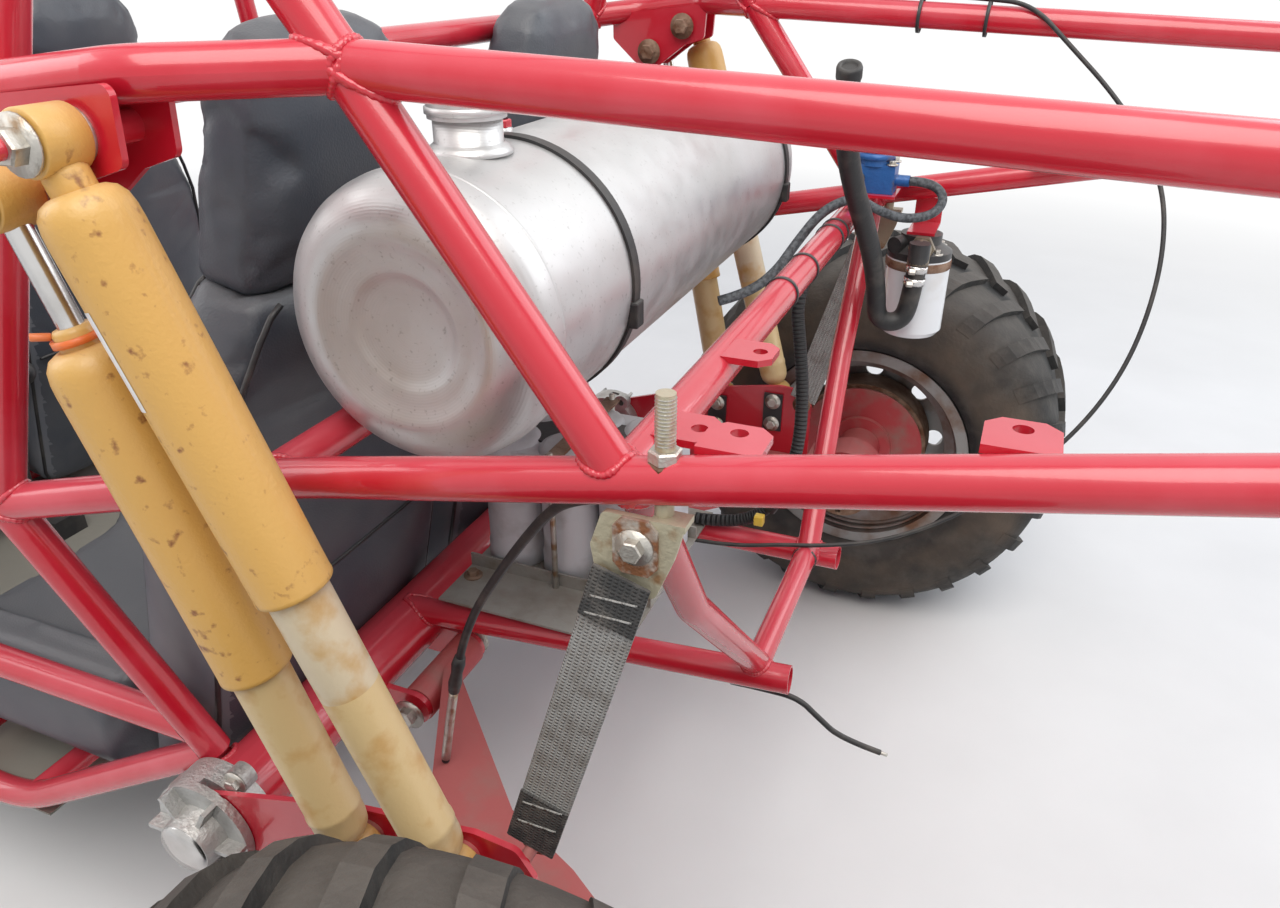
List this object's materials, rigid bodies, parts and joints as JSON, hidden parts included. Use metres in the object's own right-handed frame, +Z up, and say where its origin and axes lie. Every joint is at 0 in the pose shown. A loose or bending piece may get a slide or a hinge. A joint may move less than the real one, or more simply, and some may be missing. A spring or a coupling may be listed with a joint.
{
  "type": "four-seat dune buggy",
  "caption": "Tube-frame sand buggy with open wheels, steering, roll cage, seats and an open engine bay.",
  "frame": {"origin": "on the ground, at the middle of the car's length and width", "axes": "+X forward along the longest extent, +Y to the car's left, +Z up"},
  "size_m": [4.3544, 2.017, 1.6694],
  "materials": {
    "black_paint": "satin, chipped",
    "black_rubber": "matt",
    "blue_anodised": "satin",
    "cast_aluminium": "cast, dusty",
    "cast_iron": "rusty",
    "grey_plastic": "matt",
    "red_paint": "gloss, sun-faded and dusty",
    "seat_vinyl": "grained vinyl",
    "spun_aluminium": "brushed, dusty",
    "steel": "dull",
    "strap_webbing": "woven, dirty",
    "tyre_rubber": "worn, muddy",
    "wheel_steel": "worn silver, muddy",
    "white_paint": "gloss",
    "yellow_paint": "faded yellow, rusty"
  },
  "bodies": {
    "chassis": {"battery": "grey_plastic", "battery_tray": "cast_iron", "clutch_cable": "black_rubber", "cockpit_frame": "red_paint", "dash_panel": "spun_aluminium", "filler_cap": "spun_aluminium", "filter_head": "cast_aluminium", "floor_pan": "spun_aluminium", "front_arms": "black_paint", "front_beam": "red_paint", "front_shocks": "yellow_paint", "fuel_hose": "black_rubber", "fuel_pump": "blue_anodised", "fuel_tank": "spun_aluminium", "gear_lever": "black_paint", "limit_straps": "strap_webbing", "lower_frame": "red_paint", "main_hoop": "red_paint", "nose_frame": "red_paint", "oil_filter": "white_paint", "oil_hose": "black_rubber", "pedals": "cast_iron", "rack_housing": "cast_aluminium", "rear_arms": "red_paint", "rear_cage": "red_paint", "rear_shocks": "yellow_paint", "seat_front_left": "seat_vinyl", "seat_front_right": "seat_vinyl", "seat_rear_left": "seat_vinyl", "seat_rear_right": "seat_vinyl", "shock_hangers": "red_paint", "side_frame_left": "red_paint", "side_frame_right": "red_paint", "strap_shackles": "cast_iron", "tank_bands": "black_rubber", "throttle_cable": "black_rubber", "torsion_covers": "cast_aluminium", "torsion_housing": "red_paint", "trailing_lead": "black_rubber", "wiring_loom": "black_rubber"},
    "knuckle_left": {"knuckle_left": "cast_iron"},
    "knuckle_right": {"knuckle_right": "cast_iron"},
    "front_wheel_left": {"front_tyre_left": "tyre_rubber", "front_rim_left": "wheel_steel", "front_hub_left": "cast_iron"},
    "front_wheel_right": {"front_tyre_right": "tyre_rubber", "front_rim_right": "wheel_steel", "front_hub_right": "cast_iron"},
    "rear_wheel_left": {"rear_tyre_left": "tyre_rubber", "rear_rim_left": "wheel_steel", "rear_drum_left": "cast_iron"},
    "rear_wheel_right": {"rear_tyre_right": "tyre_rubber", "rear_rim_right": "wheel_steel", "rear_drum_right": "cast_iron"},
    "rack": {"rack_bar": "steel", "tie_rods": "steel"},
    "steering": {"steering_wheel": "black_paint", "steering_shaft": "steel"}
  },
  "joints": [
    {"name": "rear_spin_left", "type": "hinge", "parent": "chassis", "child": "rear_wheel_left", "pos_m": [-1.11278, 0.8235, 0.372], "axis": [0, 1, 0], "continuous": true},
    {"name": "rear_spin_right", "type": "hinge", "parent": "chassis", "child": "rear_wheel_right", "pos_m": [-1.11278, -0.8235, 0.372], "axis": [0, 1, 0], "continuous": true},
    {"name": "steer_left", "type": "hinge", "parent": "chassis", "child": "knuckle_left", "pos_m": [1.78723, 0.7, 0.33], "axis": [0, 0, 1], "range_deg": [-30, 30]},
    {"name": "steer_right", "type": "hinge", "parent": "chassis", "child": "knuckle_right", "pos_m": [1.78723, -0.7, 0.33], "axis": [0, 0, 1], "range_deg": [-30, 30]},
    {"name": "front_spin_left", "type": "hinge", "parent": "knuckle_left", "child": "front_wheel_left", "pos_m": [1.78723, 0.83, 0.33], "axis": [0, 1, 0], "continuous": true},
    {"name": "front_spin_right", "type": "hinge", "parent": "knuckle_right", "child": "front_wheel_right", "pos_m": [1.78723, -0.83, 0.33], "axis": [0, 1, 0], "continuous": true},
    {"name": "rack_slide", "type": "slide", "parent": "chassis", "child": "rack", "axis": [0, 1, 0], "range_m": [-0.064, 0.064]},
    {"name": "steering_turn", "type": "hinge", "parent": "chassis", "child": "steering", "pos_m": [0.84723, 0.245, 0.827], "axis": [-0.8436, 0.0874, 0.5298], "range_deg": [-270, 270]}
  ],
  "couplings": [
    {"joint": "steer_right", "follows": "steer_left", "ratio": 1},
    {"joint": "rack_slide", "follows": "steer_left", "m_per_rad": -0.12},
    {"joint": "steering_turn", "follows": "steer_left", "ratio": 9}
  ]
}
